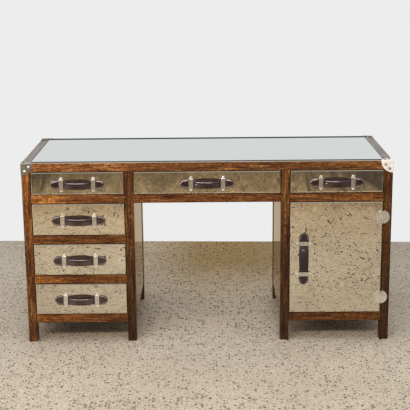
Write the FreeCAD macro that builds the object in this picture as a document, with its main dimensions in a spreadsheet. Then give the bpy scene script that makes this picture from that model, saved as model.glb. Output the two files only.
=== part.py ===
import FreeCAD, Part
import math
import os
import re

import Sketcher

# Kneehole writing desk: a stained wood frame faced with mirror glass, with leather trunk handles and metal corner
# brackets. Six drawers slide to the front on wooden runners, and a door swings on two round hinges.
# X runs to the right as seen from the front, Y to the back and Z up. The origin lies on the floor, under the middle
# of the whole desk with its handles and nails. Sizes are in millimetres.

SIZES = {
    # The frame
    "overall_width": 1500,
    "overall_depth": 580,
    "overall_height": 760,
    "kneehole_width": 600,
    "post_width": 35,
    "rail_height": 35,
    "foot_height": 84,
    "top_opening": 96,
    "edge_round": 1.5,
    # The top: its frame has a ledge that carries a board and a pane
    "ledge_width": 10,
    "top_board_thickness": 12,
    "top_glass_thickness": 5,
    "glass_gap": 2,
    # Boards and panes of the sides and the back
    "mirror_thickness": 4,
    "mirror_bevel": 3.5,
    "bevel_drop": 0.7,
    "pane_play": 0.5,
    "panel_thickness": 12,
    "panel_recess": 2,
    "back_thickness": 8,
    "back_recess": 8,
    "floor_thickness": 12,
    # Drawers, their runners and stops
    "front_gap": 3,
    "front_thickness": 18,
    "drawer_room": 52,
    "side_thickness": 12,
    "side_drop": 12,
    "bottom_thickness": 6,
    "bottom_lift": 10,
    "run_clearance": 0.3,
    "guide_clearance": 1,
    "runner_height": 20,
    "runner_tread": 16,
    "guide_height": 22,
    "stop_width": 30,
    "stop_depth": 12,
    "stop_height": 7,
    "stop_inset": 55,
    # Leather handles
    "strap_length": 220,
    "strap_width": 40,
    "strap_thickness": 4,
    "tab_radius": 23,
    "tip_round": 5,
    "grip_gap": 18,
    "root_radius": 12,
    "pad_length": 92,
    "pad_width": 27,
    "pad_height": 9,
    "pad_edge": 5,
    "pad_end": 4,
    "handle_drop": 5,
    # Metal loops that hold the handles, and their nails
    "loop_spacing": 130,
    "loop_width": 17,
    "loop_sheet": 1.5,
    "loop_play": 0.4,
    "loop_foot": 9,
    "loop_bend": 2.5,
    "nail_head": 8.5,
    "nail_crown": 2.6,
    "nail_shank": 2.5,
    "nail_length": 16,
    "hole_play": 0.25,
    # Corner brackets and their nails
    "bracket_radius": 48,
    "bracket_sheet": 1.2,
    "bracket_round": 2,
    "corner_near": 14,
    "corner_edge": 4,
    "corner_head": 12,
    "corner_crown": 3.4,
    "corner_shank": 3,
    # Door, hinges and catch
    "hinge_radius": 28,
    "hinge_sheet": 1.5,
    "hinge_inset": 67,
    "knuckle_radius": 4,
    "knuckle_stand": 0.5,
    "knuckle_play": 0.4,
    "barrel_length": 50,
    "pin_radius": 2,
    "pin_play": 0.05,
    "door_handle_inset": 57,
    "door_handle_drop": 4,
    "catch_inset": 40,
    "catch_length": 44,
    "catch_height": 14,
    "catch_depth": 16,
    "strike_sheet": 1.2,
    "strike_margin": 1,
    "catch_gap": 0.3,
}

DERIVED = {
    # Frame lines across the width
    "half_width": "=overall_width / 2",
    "outer_edge": "=half_width - post_width",
    "knee_edge": "=kneehole_width / 2",
    "inner_edge": "=knee_edge + post_width",
    # Frame lines in depth: the handles in front and the rear nails behind share the room evenly about the origin
    "post_depth": "=post_width + ledge_width",
    "handle_reach": "=grip_gap + strap_thickness + pad_height",
    "back_reach": "=bracket_sheet + corner_crown",
    "front_y": "=(handle_reach - overall_depth - back_reach) / 2",
    "back_y": "=front_y + overall_depth",
    "inner_y": "=front_y + post_depth",
    "rear_y": "=back_y - post_depth",
    "bay_depth": "=rear_y - inner_y",
    "front_depth": "=mirror_thickness + front_thickness",
    "box_front": "=front_y + front_depth",
    "box_back": "=back_y - back_recess - back_thickness - drawer_room",
    # Frame lines in height
    "rail_bottom": "=overall_height - rail_height",
    "mid_top": "=rail_bottom - top_opening",
    "mid_bottom": "=mid_top - rail_height",
    "base_top": "=foot_height + rail_height",
    "lower_opening": "=(mid_bottom - base_top - 2 * rail_height) / 3",
    "middle_bottom": "=base_top + lower_opening + rail_height",
    "upper_bottom": "=middle_bottom + lower_opening + rail_height",
    "door_opening": "=mid_bottom - base_top",
    "glass_bottom": "=overall_height - top_glass_thickness",
    "ledge_top": "=glass_bottom - top_board_thickness",
    "ledge_height": "=ledge_top - rail_bottom",
    # Side boards and panes, measured in from the outer and out from the kneehole post faces
    "pane_in": "=panel_recess + mirror_thickness",
    "board_in": "=pane_in + panel_thickness",
    "runner_top": "=runner_height + guide_height",
    "pedestal_guide": "=post_width + front_gap - board_in - guide_clearance",
    "pedestal_tread": "=pedestal_guide + guide_clearance + runner_tread",
    "knee_guide": "=pane_in + front_gap - guide_clearance",
    "knee_tread": "=knee_guide + guide_clearance + runner_tread",
    # Strap: flat ends, then a bow of one large arc that leaves the face through two small arcs
    "half_strap": "=strap_length / 2",
    "half_strap_width": "=strap_width / 2",
    "tab_start": "=half_strap - sqrt(2 * tab_radius * half_strap_width - half_strap_width ^ 2)",
    "trim_length": "=half_strap + strap_width",
    "bend_start": "=(loop_spacing - loop_width) / 2",
    "bow_sine": "=2 * grip_gap * bend_start / (bend_start ^ 2 + grip_gap ^ 2)",
    "bow_cosine": "=(bend_start ^ 2 - grip_gap ^ 2) / (bend_start ^ 2 + grip_gap ^ 2)",
    "bow_radius": "=bend_start / bow_sine - root_radius",
    "bow_out_radius": "=bow_radius + strap_thickness",
    "root_out_radius": "=root_radius - strap_thickness",
    "bow_x": "=bow_radius * bow_sine",
    "bow_y": "=root_radius * (1 - bow_cosine)",
    "bow_out_x": "=bow_out_radius * bow_sine",
    "bow_out_y": "=bow_y + strap_thickness * bow_cosine",
    "bow_centre": "=bow_radius - grip_gap",
    "pad_base": "=grip_gap + strap_thickness / 2",
    "pad_shoulder": "=handle_reach - pad_edge",
    "half_pad": "=pad_width / 2",
    "pad_flat": "=half_pad - pad_edge",
    # Loops and nails
    "half_spacing": "=loop_spacing / 2",
    "loop_clear": "=half_strap_width + loop_play",
    "loop_outer": "=loop_clear + loop_sheet",
    "loop_end": "=loop_outer + loop_foot",
    "bridge_in": "=strap_thickness + loop_play",
    "bridge_out": "=bridge_in + loop_sheet",
    "nail_line": "=loop_outer + loop_foot / 2",
    "nail_head_radius": "=nail_head / 2",
    "nail_shank_radius": "=nail_shank / 2",
    "nail_dome": "=(nail_head_radius ^ 2 + nail_crown ^ 2) / (2 * nail_crown)",
    "nail_hole_radius": "=nail_shank_radius + hole_play",
    "corner_head_radius": "=corner_head / 2",
    "corner_shank_radius": "=corner_shank / 2",
    "corner_dome": "=(corner_head_radius ^ 2 + corner_crown ^ 2) / (2 * corner_crown)",
    "corner_hole_radius": "=corner_shank_radius + hole_play",
    "corner_far": "=post_width - corner_edge",
    "corner_length": "=corner_near - corner_shank",
    # Hinges: the pin stands in front of the face, in the middle of the gap beside the door
    "hinge_x": "=outer_edge - front_gap / 2",
    "axis_out": "=knuckle_radius + knuckle_stand",
    "leaf_edge": "=knuckle_radius + knuckle_play",
    "leaf_half": "=sqrt(hinge_radius ^ 2 - leaf_edge ^ 2)",
    "leaf_lap": "=leaf_edge + hinge_sheet",
    "barrel_far": "=axis_out + knuckle_radius",
    "web_meet": "=sqrt(knuckle_radius ^ 2 - (axis_out - hinge_sheet) ^ 2)",
    "bore_radius": "=pin_radius + pin_play",
    "half_barrel": "=barrel_length / 2",
    "knuckle_split": "=barrel_length / 6",
    "outer_knuckle": "=half_barrel - knuckle_split - knuckle_play / 2",
    "middle_knuckle": "=2 * knuckle_split - knuckle_play",
}

# Each drawer's opening: left edge, right edge, lower edge and height
DRAWERS = {
    "top_left": ("-outer_edge", "-inner_edge", "mid_top", "top_opening"),
    "top_centre": ("-knee_edge", "knee_edge", "mid_top", "top_opening"),
    "top_right": ("inner_edge", "outer_edge", "mid_top", "top_opening"),
    "left_upper": ("-outer_edge", "-inner_edge", "upper_bottom", "lower_opening"),
    "left_middle": ("-outer_edge", "-inner_edge", "middle_bottom", "lower_opening"),
    "left_lower": ("-outer_edge", "-inner_edge", "base_top", "lower_opening"),
}

AXIS_X = FreeCAD.Vector(1, 0, 0)
AXIS_Y = FreeCAD.Vector(0, 1, 0)
AXIS_Z = FreeCAD.Vector(0, 0, 1)
AS_MADE = FreeCAD.Rotation()
FACING_FRONT = FreeCAD.Rotation(AXIS_X, 90)
FACING_LEFT = FreeCAD.Rotation(AXIS_Y, -90)
UPRIGHT = FreeCAD.Rotation(AXIS_Y, 90)
HALF_TURN = FreeCAD.Rotation(AXIS_Z, 180)
QUARTER_LEFT = FreeCAD.Rotation(AXIS_Z, 90)
QUARTER_RIGHT = FreeCAD.Rotation(AXIS_Z, -90)
OVER = FreeCAD.Rotation(AXIS_Y, 180)

doc = FreeCAD.newDocument("Desk")
sheet = doc.addObject("Spreadsheet::Sheet", "Sizes")
nodes = []


def fill_sheet():
    for row, (name, content) in enumerate([*SIZES.items(), *DERIVED.items()], start=1):
        sheet.set(f"A{row}", name)
        sheet.set(f"B{row}", str(content))
        sheet.setAlias(f"B{row}", name)
    doc.recompute()


def formula(text):
    """The text with every size name pointed at the sheet."""
    return re.sub(r"[a-z]+(_[a-z]+)*", lambda word: f"Sizes.{word.group()}", text)


def number(term):
    """Present value of a size name, which may carry a minus sign, or of 0."""
    if term == "0":
        return 0.0
    size = float(sheet.get(term.lstrip("-")))
    return -size if term.startswith("-") else size


def bind(thing, place, text):
    thing.setExpression(place, formula(text))


def set_at(thing, at, turn=AS_MADE):
    thing.Placement = FreeCAD.Placement(FreeCAD.Vector(), turn)
    for axis, text in zip("xyz", at):
        bind(thing, f"Placement.Base.{axis}", text)


def keep(piece):
    nodes.append(piece)
    return piece


def group(name, pieces):
    bundle = doc.addObject("Part::Compound", name)
    bundle.Links = pieces
    return bundle


def copy(master, name, at, turn=AS_MADE):
    twin = doc.addObject("App::Link", name)
    twin.LinkedObject = master
    set_at(twin, at, turn)
    return twin


def board(name, x, y, z):
    """A plain board between a low and a high edge on each axis."""
    piece = doc.addObject("Part::Box", name)
    for axis, side, (low, high) in zip("xyz", ("Length", "Width", "Height"), (x, y, z)):
        bind(piece, side, f"({high}) - ({low})")
        bind(piece, f"Placement.Base.{axis}", low)
    return piece


def combine(kind, name, base, tool):
    result = doc.addObject(f"Part::{kind}", name)
    result.Base = base
    result.Tool = tool
    result.Refine = True
    return result


def rod(name, radius, length):
    """A cylinder along Z, centred on the origin."""
    bar = doc.addObject("Part::Cylinder", f"{name}_bar")
    bind(bar, "Radius", radius)
    bind(bar, "Height", length)
    bind(bar, "Placement.Base.z", f"-({length}) / 2")
    return group(name, [bar])


def sketch_on(body, name, role):
    sketch = body.newObject("Sketcher::SketchObject", name)
    plane = next(item for item in body.Origin.OriginFeatures if item.Role == role)
    sketch.AttachmentSupport = (plane, [""])
    sketch.MapMode = "FlatFace"
    return sketch


def pin_point(sketch, index, end, x, y):
    """Holds one end of a line or arc at named distances from the sketch's origin."""
    for kind, term in (("DistanceX", x), ("DistanceY", y)):
        place = sketch.addConstraint(Sketcher.Constraint(kind, -1, 1, index, end, number(term)))
        bind(sketch, f"Constraints[{place}]", term)


def arc_between(start, end, radius):
    """The shorter arc from start to end: to the left for a positive radius, to the right for a negative one."""
    chord = end - start
    side = FreeCAD.Vector(-chord.y, chord.x, 0).normalize()
    rise = math.sqrt(max(radius ** 2 - chord.Length ** 2 / 4, 0))
    centre = (start + end) * 0.5 + side * math.copysign(rise, radius)
    first, last = (start, end) if radius > 0 else (end, start)
    low = math.atan2(first.y - centre.y, first.x - centre.x)
    high = math.atan2(last.y - centre.y, last.x - centre.x)
    if high < low:
        high += 2 * math.pi
    return Part.ArcOfCircle(Part.Circle(centre, AXIS_Z, abs(radius)), low, high)


def trace(sketch, points, arcs=None):
    """Closed outline through named points. arcs gives the signed radius of the stretch that follows a point."""
    arcs = arcs or {}
    spots = [FreeCAD.Vector(number(x), number(y), 0) for x, y in points]
    ends = []
    for place, start in enumerate(spots):
        end = spots[(place + 1) % len(spots)]
        turn = number(arcs[place]) if place in arcs else 0
        edge = arc_between(start, end, turn) if turn else Part.LineSegment(start, end)
        index = sketch.addGeometry(edge)
        ends.append((index, 2, 1) if turn < 0 else (index, 1, 2))
    for place, (index, first, last) in enumerate(ends):
        following, its_first, its_last = ends[(place + 1) % len(ends)]
        sketch.addConstraint(Sketcher.Constraint("Coincident", index, last, following, its_first))
        pin_point(sketch, index, first, *points[place])
        if place in arcs:
            radius = arcs[place].lstrip("-")
            held = sketch.addConstraint(Sketcher.Constraint("Radius", index, number(radius)))
            bind(sketch, f"Constraints[{held}]", radius)


def ring(sketch, x, y, radius):
    centre = FreeCAD.Vector(number(x), number(y), 0)
    index = sketch.addGeometry(Part.Circle(centre, AXIS_Z, number(radius)))
    pin_point(sketch, index, 3, x, y)
    held = sketch.addConstraint(Sketcher.Constraint("Radius", index, number(radius)))
    bind(sketch, f"Constraints[{held}]", radius)


def pad(body, sketch, length, both_ways=False):
    feature = body.newObject("PartDesign::Pad", f"{sketch.Name}_pad")
    feature.Profile = sketch
    feature.SideType = "Symmetric" if both_ways else "One side"
    bind(feature, "Length", length)
    return feature


def cut_through(body, sketch):
    """Cuts the sketch's outline right through the body, both ways, and makes sure that it took something away."""
    doc.recompute()
    before = body.Shape.Volume
    feature = body.newObject("PartDesign::Pocket", f"{sketch.Name}_cut")
    feature.Profile = sketch
    feature.Type = "ThroughAll"
    feature.SideType = "Symmetric"
    doc.recompute()
    if body.Shape.Volume >= before:
        raise RuntimeError(f"{feature.Name} cuts nothing")
    return feature


def round_edges(body, base, radius, wanted):
    """Rounds those edges of the base feature for which wanted is true."""
    doc.recompute()
    names = [f"Edge{place}" for place, edge in enumerate(base.Shape.Edges, start=1) if wanted(edge)]
    feature = body.newObject("PartDesign::Fillet", f"{base.Name}_round")
    feature.Base = (base, names)
    bind(feature, "Radius", radius)
    return feature


def close_to(one, other):
    return abs(one - other) < 1e-4


def direction(edge):
    return edge.tangentAt(edge.FirstParameter)


def post(name, height):
    """A square-cut post with eased long edges, standing with its left front corner on the origin."""
    body = doc.addObject("PartDesign::Body", name)
    section = sketch_on(body, f"{name}_section", "XY_Plane")
    trace(section, [("0", "0"), ("post_width", "0"), ("post_width", "post_depth"), ("0", "post_depth")])
    bar = pad(body, section, height)
    round_edges(body, bar, "edge_round", lambda edge: close_to(abs(direction(edge).z), 1))
    return body


def build_posts():
    outer = post("outer_post", "overall_height")
    inner = post("inner_post", "rail_bottom")
    for row, y in (("front", "front_y"), ("rear", "rear_y")):
        spots = (("-half_width", outer), ("-inner_edge", inner), ("knee_edge", inner), ("outer_edge", outer))
        copies = [copy(kind, f"{row}_post_{place}", (x, y, "0")) for place, (x, kind) in enumerate(spots)]
        keep(group(f"{row}_posts", copies))


def top_rail(name, length, at, turn):
    """A rail of the top's frame: its section has a ledge along the inside, below the board and the pane."""
    body = doc.addObject("PartDesign::Body", name)
    section = sketch_on(body, f"{name}_section", "YZ_Plane")
    trace(section, [
        ("0", "0"), ("post_depth", "0"), ("post_depth", "ledge_height"),
        ("post_width", "ledge_height"), ("post_width", "rail_height"), ("0", "rail_height"),
    ])
    pad(body, section, length)
    set_at(body, at, turn)
    return body


def build_top():
    keep(top_rail("top_front_rail", "2 * outer_edge", ("-outer_edge", "front_y", "rail_bottom"), AS_MADE))
    keep(top_rail("top_rear_rail", "2 * outer_edge", ("outer_edge", "back_y", "rail_bottom"), HALF_TURN))
    left = top_rail("top_left_rail", "bay_depth", ("-half_width", "rear_y", "rail_bottom"), QUARTER_RIGHT)
    right = top_rail("top_right_rail", "bay_depth", ("half_width", "inner_y", "rail_bottom"), QUARTER_LEFT)
    keep(group("top_side_rails", [left, right]))
    x = ("glass_gap - outer_edge", "outer_edge - glass_gap")
    y = ("front_y + post_width + glass_gap", "back_y - post_width - glass_gap")
    keep(board("top_board", x, y, ("ledge_top", "glass_bottom")))
    keep(board("top_mirror", x, y, ("glass_bottom", "overall_height")))


def build_rails():
    """Rails between the posts, flush with them, at the front and at the back."""
    pedestals = (("-outer_edge", "-inner_edge"), ("inner_edge", "outer_edge"))
    knee = ("-knee_edge", "knee_edge")
    foot = ("foot_height", "base_top")
    middle = ("mid_bottom", "mid_top")
    dividers = [(f"{above} - rail_height", above) for above in ("middle_bottom", "upper_bottom")]
    front = [(span, foot) for span in pedestals]
    front += [(span, middle) for span in (*pedestals, knee)]
    front += [(pedestals[0], level) for level in dividers]
    rear = [(span, foot) for span in pedestals] + [(knee, middle)]
    for row, y, rails in (("front", ("front_y", "inner_y"), front), ("rear", ("rear_y", "back_y"), rear)):
        pieces = [board(f"{row}_rail_{place}", x, y, z) for place, (x, z) in enumerate(rails)]
        keep(group(f"{row}_rails", pieces))


def both_sides(low, high):
    """The same stretch of X on the right side and, mirrored, on the left side."""
    return ((low, high), (f"-({high})", f"-({low})"))


def build_panels():
    bay = ("inner_y", "rear_y")
    boards = []
    panes = []
    outer_board = both_sides("half_width - board_in", "half_width - pane_in")
    inner_board = both_sides("knee_edge + pane_in", "knee_edge + board_in")
    outer_pane = both_sides("half_width - pane_in", "half_width - panel_recess")
    inner_pane = both_sides("knee_edge + panel_recess", "knee_edge + pane_in")
    pane_bay = ("inner_y + pane_play", "rear_y - pane_play")
    for side in range(2):
        boards.append(board(f"outer_board_{side}", outer_board[side], bay, ("foot_height", "rail_bottom")))
        boards.append(board(f"inner_board_{side}", inner_board[side], bay, ("foot_height", "ledge_top")))
        tall = ("foot_height", "rail_bottom - pane_play")
        short = ("foot_height", "mid_top - runner_height - pane_play")
        panes.append(board(f"outer_pane_{side}", outer_pane[side], pane_bay, tall))
        panes.append(board(f"inner_pane_{side}", inner_pane[side], pane_bay, short))
    keep(group("side_boards", boards))
    keep(group("side_mirrors", panes))

    back = ("back_y - back_recess - back_thickness", "back_y - back_recess")
    backs = [board(f"back_{side}", x, back, ("base_top", "rail_bottom"))
             for side, x in enumerate(both_sides("inner_edge", "outer_edge"))]
    backs.append(board("back_knee", ("-knee_edge", "knee_edge"), back, ("mid_top", "rail_bottom")))
    keep(group("back_panels", backs))

    inside = both_sides("knee_edge + board_in", "half_width - board_in")
    cupboard = board("cupboard_floor", inside[0], bay, ("base_top - floor_thickness", "base_top"))
    chest = board("chest_floor", inside[1], bay, ("foot_height", "foot_height + floor_thickness"))
    keep(group("pedestal_floors", [cupboard, chest]))


def runner(name, guide, tread):
    """An L-section runner along the bay: the drawer's side rides on its tread and slides along its guide."""
    body = doc.addObject("PartDesign::Body", name)
    section = sketch_on(body, f"{name}_section", "XZ_Plane")
    trace(section, [
        ("0", "0"), (tread, "0"), (tread, "runner_height"),
        (guide, "runner_height"), (guide, "runner_top"), ("0", "runner_top"),
    ])
    pad(body, section, "bay_depth")
    return body


def build_runners():
    pedestal = runner("pedestal_runner", "pedestal_guide", "pedestal_tread")
    knee = runner("knee_runner", "knee_guide", "knee_tread")
    runners = []
    stops = []
    for name, (left, right, bottom, opening) in DRAWERS.items():
        at_knee = name == "top_centre"
        kind = knee if at_knee else pedestal
        reach = "pane_in" if at_knee else "(post_width - board_in)"
        z = f"{bottom} - runner_height"
        runners.append(copy(kind, f"{name}_runner_left", (f"{left} - {reach}", "rear_y", z)))
        runners.append(copy(kind, f"{name}_runner_right", (f"{right} + {reach}", "inner_y", z), HALF_TURN))
        ends = {
            "left": (f"{left} + stop_inset", f"{left} + stop_inset + stop_width"),
            "right": (f"{right} - stop_inset - stop_width", f"{right} - stop_inset"),
        }
        for end, x in ends.items():
            stops.append(board(f"{name}_stop_{end}", x, ("box_front", "box_front + stop_depth"),
                               (bottom, f"{bottom} + stop_height")))
    keep(group("drawer_runners", runners))
    keep(group("drawer_stops", stops))


def nail(name, head_radius, crown, dome, shank_radius, length):
    """A dome-headed nail along Z, with the underside of its head at the origin."""
    body = doc.addObject("PartDesign::Body", name)
    half = sketch_on(body, f"{name}_half", "XZ_Plane")
    points = [("0", f"-{length}"), (shank_radius, f"-{length}"), (shank_radius, "0"), (head_radius, "0"), ("0", crown)]
    trace(half, points, {3: dome})
    turned = body.newObject("PartDesign::Revolution", f"{name}_turned")
    turned.Profile = half
    turned.ReferenceAxis = (half, ["V_Axis"])
    return body


def strap():
    """A leather handle seen from its middle on the face: flat ogive ends, a bowed grip and a padded roll on it."""
    body = doc.addObject("PartDesign::Body", "handle_strap")
    side = sketch_on(body, "strap_side", "XY_Plane")
    inner = [("-half_strap", "0"), ("-bend_start", "0"), ("-bow_x", "-bow_y"),
             ("bow_x", "-bow_y"), ("bend_start", "0"), ("half_strap", "0")]
    outer = [("half_strap", "-strap_thickness"), ("bend_start", "-strap_thickness"), ("bow_out_x", "-bow_out_y"),
             ("-bow_out_x", "-bow_out_y"), ("-bend_start", "-strap_thickness"), ("-half_strap", "-strap_thickness")]
    trace(side, inner + outer, {
        1: "-root_radius", 2: "bow_radius", 3: "-root_radius",
        7: "root_out_radius", 8: "-bow_out_radius", 9: "root_out_radius",
    })
    pad(body, side, "strap_width", both_ways=True)

    plan = sketch_on(body, "strap_plan", "XZ_Plane")
    trace(plan, [("-trim_length", "-strap_width"), ("trim_length", "-strap_width"),
                 ("trim_length", "strap_width"), ("-trim_length", "strap_width")])
    trace(plan, [
        ("-tab_start", "-half_strap_width"), ("tab_start", "-half_strap_width"), ("half_strap", "0"),
        ("tab_start", "half_strap_width"), ("-tab_start", "half_strap_width"), ("-half_strap", "0"),
    ], {1: "tab_radius", 2: "tab_radius", 4: "tab_radius", 5: "tab_radius"})
    trimmed = cut_through(body, plan)
    tip = number("half_strap")
    round_edges(body, trimmed, "tip_round", lambda edge: close_to(abs(edge.CenterOfMass.x), tip))

    roll = sketch_on(body, "strap_roll", "YZ_Plane")
    trace(roll, [
        ("-pad_base", "-half_pad"), ("-pad_shoulder", "-half_pad"), ("-handle_reach", "-pad_flat"),
        ("-handle_reach", "pad_flat"), ("-pad_shoulder", "half_pad"), ("-pad_base", "half_pad"),
    ], {1: "-pad_edge", 3: "-pad_edge"})
    middle = number("bow_centre")
    hinge_line = Part.LineSegment(FreeCAD.Vector(middle, 0, 0), FreeCAD.Vector(middle, number("half_pad"), 0))
    index = roll.addGeometry(hinge_line, True)
    pin_point(roll, index, 1, "bow_centre", "0")
    pin_point(roll, index, 2, "bow_centre", "half_pad")
    swept = body.newObject("PartDesign::Revolution", "strap_roll_swept")
    swept.Profile = roll
    swept.ReferenceAxis = (roll, ["Axis0"])
    swept.Midplane = True
    swept.setExpression("Angle", "2 * asin(Sizes.pad_length / 2 / Sizes.bow_out_radius)")
    doc.recompute()
    end_x = number("pad_length") / 2
    round_edges(body, swept, "pad_end", lambda edge: abs(edge.CenterOfMass.x) > end_x
                and edge.CenterOfMass.y < -number("bow_out_y") and abs(edge.CenterOfMass.z) < number("half_pad"))
    return body


def loop():
    """A flat metal loop that bridges the strap, with a foot above and below it and a nail hole in each foot."""
    body = doc.addObject("PartDesign::Body", "handle_loop")
    side = sketch_on(body, "loop_side", "YZ_Plane")
    inner = [("0", "loop_end"), ("0", "loop_clear"), ("-bridge_in", "loop_clear"),
             ("-bridge_in", "-loop_clear"), ("0", "-loop_clear"), ("0", "-loop_end")]
    outer = [("-loop_sheet", "-loop_end"), ("-loop_sheet", "-loop_outer"), ("-bridge_out", "-loop_outer"),
             ("-bridge_out", "loop_outer"), ("-loop_sheet", "loop_outer"), ("-loop_sheet", "loop_end")]
    trace(side, inner + outer)
    strip = pad(body, side, "loop_width", both_ways=True)
    crest = -number("bridge_out")
    shoulder = number("loop_outer")
    round_edges(body, strip, "loop_bend", lambda edge: close_to(edge.CenterOfMass.y, crest)
                and close_to(abs(edge.CenterOfMass.z), shoulder))
    holes = sketch_on(body, "loop_holes", "XZ_Plane")
    ring(holes, "0", "nail_line", "nail_hole_radius")
    ring(holes, "0", "-nail_line", "nail_hole_radius")
    cut_through(body, holes)
    return body


class Fittings:
    """The patterns that the handles are copied from."""

    def __init__(self):
        self.strap = strap()
        self.loop = loop()
        self.nail = nail("handle_nail", "nail_head_radius", "nail_crown", "nail_dome", "nail_shank_radius",
                         "nail_length")
        self.hole = rod("handle_nail_hole", "nail_hole_radius", "4 * mirror_thickness")


def handle(owner, fittings, centre_x, centre_z, upright=False):
    """A handle on the front plane: its strap, loops and nails. Returns the holes that its pane needs."""
    turn = UPRIGHT if upright else AS_MADE
    loops = []
    nails = []
    holes = []
    for end in ("-half_spacing", "+half_spacing"):
        x, z = (centre_x, f"{centre_z} {end}") if upright else (f"{centre_x} {end}", centre_z)
        loops.append(copy(fittings.loop, f"{owner}_loop_{len(loops)}", (x, "front_y", z), turn))
        for foot in ("-nail_line", "+nail_line"):
            place = len(nails)
            foot_x, foot_z = (f"{x} {foot}", z) if upright else (x, f"{z} {foot}")
            head = (foot_x, "front_y - loop_sheet", foot_z)
            nails.append(copy(fittings.nail, f"{owner}_nail_{place}", head, FACING_FRONT))
            holes.append(copy(fittings.hole, f"{owner}_hole_{place}", (foot_x, "front_y", foot_z), FACING_FRONT))
    leather = copy(fittings.strap, f"{owner}_leather", (centre_x, "front_y", centre_z), turn)
    keep(group(f"{owner}_strap", [leather]))
    keep(group(f"{owner}_loops", loops))
    keep(group(f"{owner}_nails", nails))
    return group(f"{owner}_holes", holes)


def pane(name, x, z, holes):
    """A mirror pane in the front plane, with a ground bevel all round and holes for the nails of its handle."""
    flat = board(f"{name}_flat", x, ("front_y + bevel_drop", "front_y + mirror_thickness"), z)
    bevel = doc.addObject("Part::Wedge", f"{name}_bevel")
    bind(bevel, "Ymin", "front_y")
    bind(bevel, "Ymax", "front_y + bevel_drop")
    for axis, (low, high) in (("X", x), ("Z", z)):
        bind(bevel, f"{axis}min", f"{low} + mirror_bevel")
        bind(bevel, f"{axis}max", f"{high} - mirror_bevel")
        bind(bevel, f"{axis}2min", low)
        bind(bevel, f"{axis}2max", high)
    whole = combine("Fuse", f"{name}_whole", flat, bevel)
    keep(combine("Cut", name, whole, holes))


def build_drawer(name, fittings, left, right, bottom, opening):
    owner = f"drawer_{name}"
    front_x = (f"{left} + front_gap", f"{right} - front_gap")
    front_z = (f"{bottom} + front_gap", f"{bottom} + {opening} - front_gap")
    inside_x = (f"{left} + front_gap + side_thickness", f"{right} - front_gap - side_thickness")
    length = ("box_front", "box_back")
    top = f"{bottom} + {opening} - front_gap - side_drop"
    side_z = (f"{bottom} + run_clearance", top)
    floor_z = (f"{bottom} + bottom_lift", f"{bottom} + bottom_lift + bottom_thickness")
    keep(group(f"{owner}_box", [
        board(f"{owner}_front", front_x, ("front_y + mirror_thickness", "box_front"), front_z),
        board(f"{owner}_side_left", (front_x[0], inside_x[0]), length, side_z),
        board(f"{owner}_side_right", (inside_x[1], front_x[1]), length, side_z),
        board(f"{owner}_bottom", inside_x, length, floor_z),
        board(f"{owner}_back", inside_x, ("box_back - side_thickness", "box_back"), (floor_z[1], top)),
    ]))
    holes = handle(owner, fittings, f"({left} + {right}) / 2", f"{bottom} + {opening} / 2 - handle_drop")
    pane(f"{owner}_mirror", front_x, front_z, holes)


def hinge_leaf(name, knuckles):
    """A half-disc leaf on the face, on the right of the pin, with knuckles that roll from it round the pin.
    Each knuckle is its lower end and its length."""
    body = doc.addObject("PartDesign::Body", name)
    plate = sketch_on(body, f"{name}_plate", "XZ_Plane")
    trace(plate, [("leaf_edge", "-leaf_half"), ("leaf_edge", "leaf_half")], {0: "hinge_radius"})
    pad(body, plate, "hinge_sheet")
    for place, (low, length) in enumerate(knuckles):
        wrap = sketch_on(body, f"{name}_wrap_{place}", "XY_Plane")
        bind(wrap, "AttachmentOffset.Base.z", low)
        trace(wrap, [
            ("leaf_lap", "0"), ("0", "0"), ("0", "-knuckle_stand"), ("-knuckle_radius", "-axis_out"),
            ("0", "-barrel_far"), ("web_meet", "-hinge_sheet"), ("leaf_lap", "-hinge_sheet"),
        ], {2: "knuckle_radius", 3: "knuckle_radius", 4: "knuckle_radius"})
        pad(body, wrap, length)
    bore = sketch_on(body, f"{name}_bore", "XY_Plane")
    ring(bore, "0", "-axis_out", "bore_radius")
    cut_through(body, bore)
    return body


def build_door(fittings):
    x = ("inner_edge + front_gap", "outer_edge - front_gap")
    z = ("base_top + front_gap", "mid_bottom - front_gap")
    keep(board("door_board", x, ("front_y + mirror_thickness", "box_front"), z))
    middle = "base_top + door_opening / 2 - door_handle_drop"
    holes = handle("door", fittings, "inner_edge + front_gap + door_handle_inset", middle, upright=True)
    pane("door_mirror", x, z, holes)

    split = "knuckle_split + knuckle_play / 2"
    post_leaf = hinge_leaf("post_leaf", [(split, "outer_knuckle"), ("-half_barrel", "outer_knuckle")])
    door_leaf = hinge_leaf("door_leaf", [("knuckle_play / 2 - knuckle_split", "middle_knuckle")])
    pin = rod("hinge_pin", "pin_radius", "barrel_length")
    levels = ("base_top + hinge_inset", "mid_bottom - hinge_inset")
    on_post = [copy(post_leaf, f"post_leaf_{place}", ("hinge_x", "front_y", level))
               for place, level in enumerate(levels)]
    on_door = [copy(door_leaf, f"door_leaf_{place}", ("hinge_x", "front_y", level), OVER)
               for place, level in enumerate(levels)]
    pins = [copy(pin, f"pin_{place}", ("hinge_x", "front_y - axis_out", level))
            for place, level in enumerate(levels)]
    keep(group("hinge_post_leaves", on_post))
    keep(group("door_hinge_leaves", on_door))
    keep(group("hinge_pins", pins))

    catch_x = ("inner_edge + catch_inset", "inner_edge + catch_inset + catch_length")
    catch_front = "box_front + strike_sheet + catch_gap"
    keep(board("door_catch", catch_x, (catch_front, f"{catch_front} + catch_depth"),
               ("mid_bottom - catch_height", "mid_bottom")))
    keep(board("door_strike", catch_x, ("box_front", "box_front + strike_sheet"),
               ("mid_bottom - catch_height", "mid_bottom - front_gap - strike_margin")))


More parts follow.
